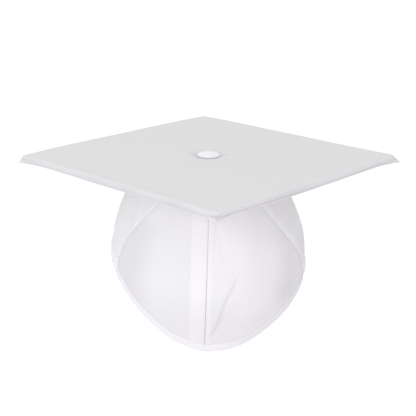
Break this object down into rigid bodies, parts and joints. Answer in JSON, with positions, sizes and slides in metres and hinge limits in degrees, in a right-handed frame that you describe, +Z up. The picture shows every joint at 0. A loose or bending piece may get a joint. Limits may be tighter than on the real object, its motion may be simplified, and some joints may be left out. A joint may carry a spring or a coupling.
{
  "type": "graduation cap",
  "caption": "Flat-topped graduation cap: a square fabric-covered board with a covered centre button over a soft pointed crown that folds flat and is gathered on elastic at the back.",
  "frame": {"origin": "centre of the head opening, at the level of the side hem", "axes": "+Z up, normal to the board's upper face; -Y towards the front point of the crown; +X towards the wearer's left, which is the right side seen from the front; the board's diagonals lie along X and Y"},
  "size_m": [0.3476, 0.3476, 0.1555],
  "materials": {
    "crown_cloth": "soft matte weave with a faint sheen",
    "stay_tape": "flat woven tape",
    "hem_tape": "soft matte weave, doubled",
    "casing_cloth": "soft matte weave, gathered",
    "elastic_webbing": "ribbed knit",
    "label_satin": "smooth satin, blank",
    "thread": "twisted polyester thread",
    "board_card": "plain greyboard",
    "board_cloth": "soft matte weave, drawn taut",
    "under_cloth": "soft matte weave, drawn taut",
    "washer_plastic": "moulded",
    "button_cloth": "soft matte weave, drawn over a form",
    "button_steel": "tinned",
    "prong_brass": "rolled"
  },
  "bodies": {
    "crown": {"front_left_panel": "crown_cloth", "front_right_panel": "crown_cloth", "back_left_panel": "crown_cloth", "back_right_panel": "crown_cloth", "front_seam_stay": "stay_tape", "hem_binding": "hem_tape", "elastic_casing": "casing_cloth", "elastic_band": "elastic_webbing", "care_label": "label_satin", "crown_seam_thread": "thread", "front_seam_thread": "thread", "back_seam_thread": "thread", "side_seam_thread_left": "thread", "side_seam_thread_right": "thread", "hem_thread": "thread", "elastic_thread": "thread"},
    "board": {"board_core": "board_card", "board_top_cover": "board_cloth", "board_underside_cover": "under_cloth", "button_washer": "washer_plastic"},
    "button": {"button_cover": "button_cloth", "button_shell": "button_steel", "button_back_plate": "button_steel", "button_prong": "prong_brass"}
  },
  "joints": [
    {"name": "crown_collapse", "type": "slide", "parent": "crown", "child": "board", "axis": [0, 0, -1], "range_m": [0, 0.085], "deforming": ["front_left_panel", "front_right_panel", "back_left_panel", "back_right_panel", "front_seam_stay", "hem_binding", "elastic_casing", "elastic_band", "care_label", "crown_seam_thread", "front_seam_thread", "back_seam_thread", "side_seam_thread_left", "side_seam_thread_right", "hem_thread", "elastic_thread"]},
    {"name": "button_swivel", "type": "hinge", "parent": "board", "child": "button", "pos_m": [0, 0, 0.102], "axis": [0, 0, 1], "continuous": true}
  ]
}
